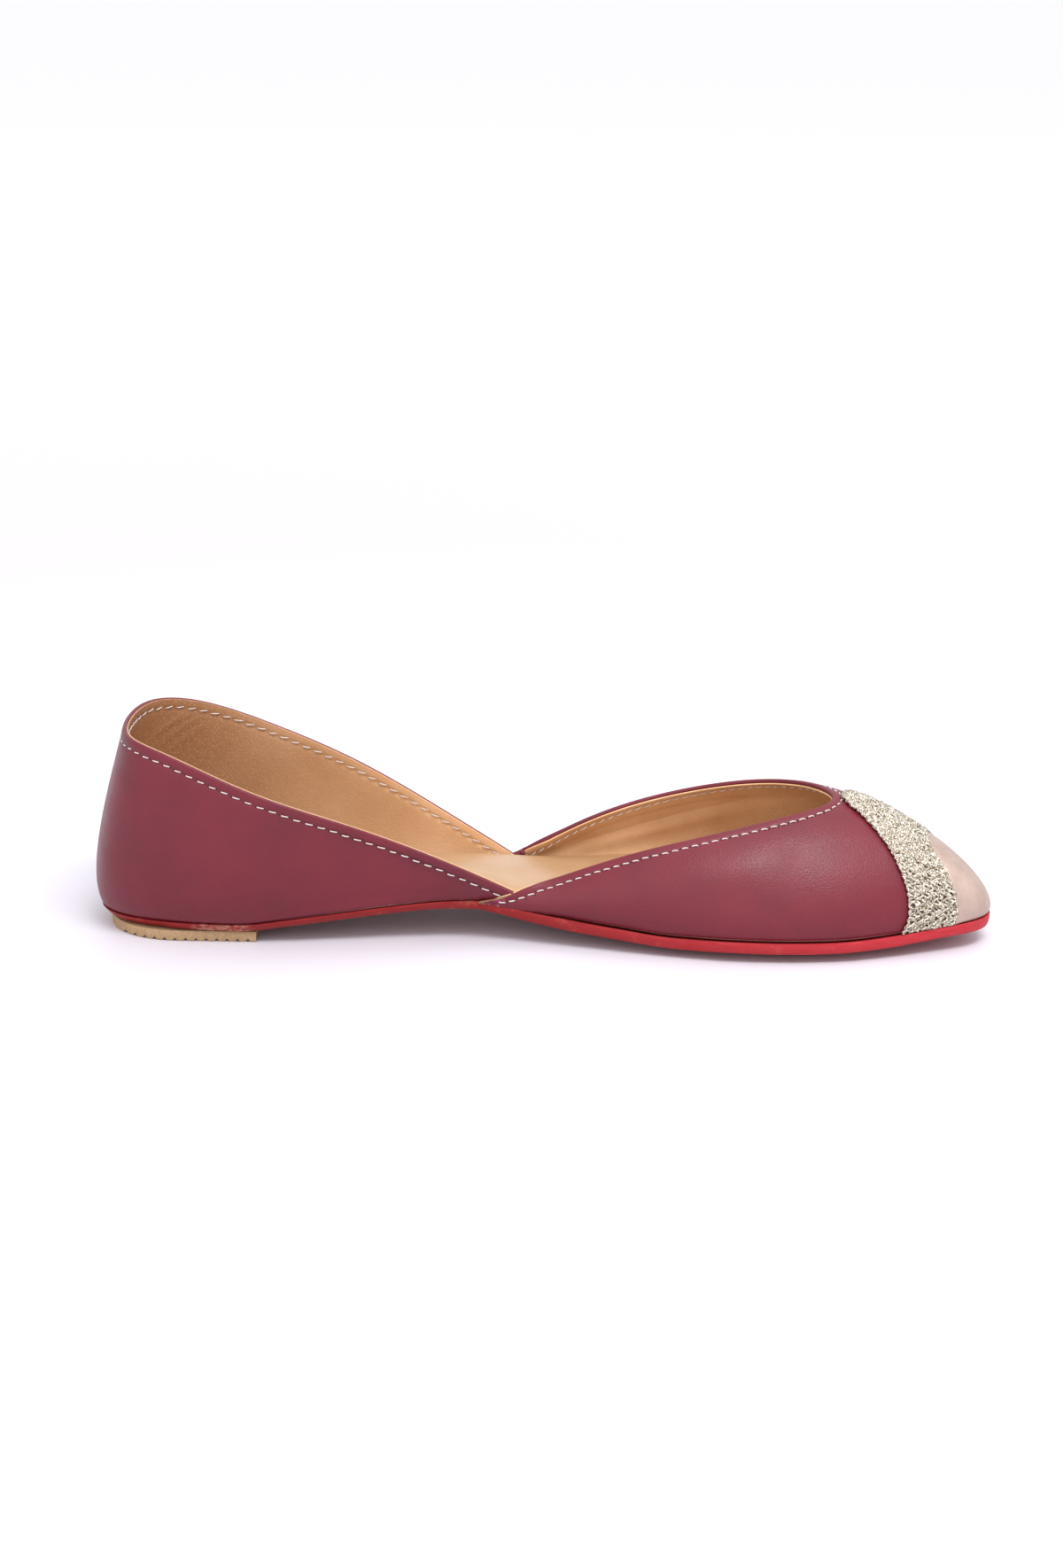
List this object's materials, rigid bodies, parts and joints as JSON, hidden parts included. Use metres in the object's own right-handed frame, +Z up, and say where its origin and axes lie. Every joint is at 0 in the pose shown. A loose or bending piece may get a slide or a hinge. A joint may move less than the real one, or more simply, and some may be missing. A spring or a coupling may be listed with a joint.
{
  "type": "mojari shoe",
  "caption": "Left flat slip-on mojari: low leather upper cut down to the sole at the waist, thin leather sole, grooved heel pad, braid band and metallic toe cap.",
  "frame": {"origin": "middle of the shoe's bounding box, on the floor plane that it stands on", "axes": "+X from heel to toe, +Y towards the lateral side, +Z up"},
  "size_m": [0.2506, 0.0756, 0.0583],
  "materials": {
    "sole_leather": "red dyed and polished sole leather edge",
    "crepe_rubber": "cream crepe rubber, matt, grooved underneath",
    "upper_leather": "smooth maroon leather, satin",
    "lining_leather": "tan lining leather, matt",
    "insole_leather": "tan padded insole cover, satin",
    "metal_braid": "pale gold metallic thread, looped braid",
    "metallic_leather": "rose gold foiled leather, pearly",
    "thread": "off-white waxed sewing thread"
  },
  "bodies": {
    "root": {"outsole": "sole_leather", "heel_pad": "crepe_rubber", "upper": "upper_leather", "insole": "insole_leather", "braid_band": "metal_braid", "toe_cap": "metallic_leather"}
  },
  "joints": []
}
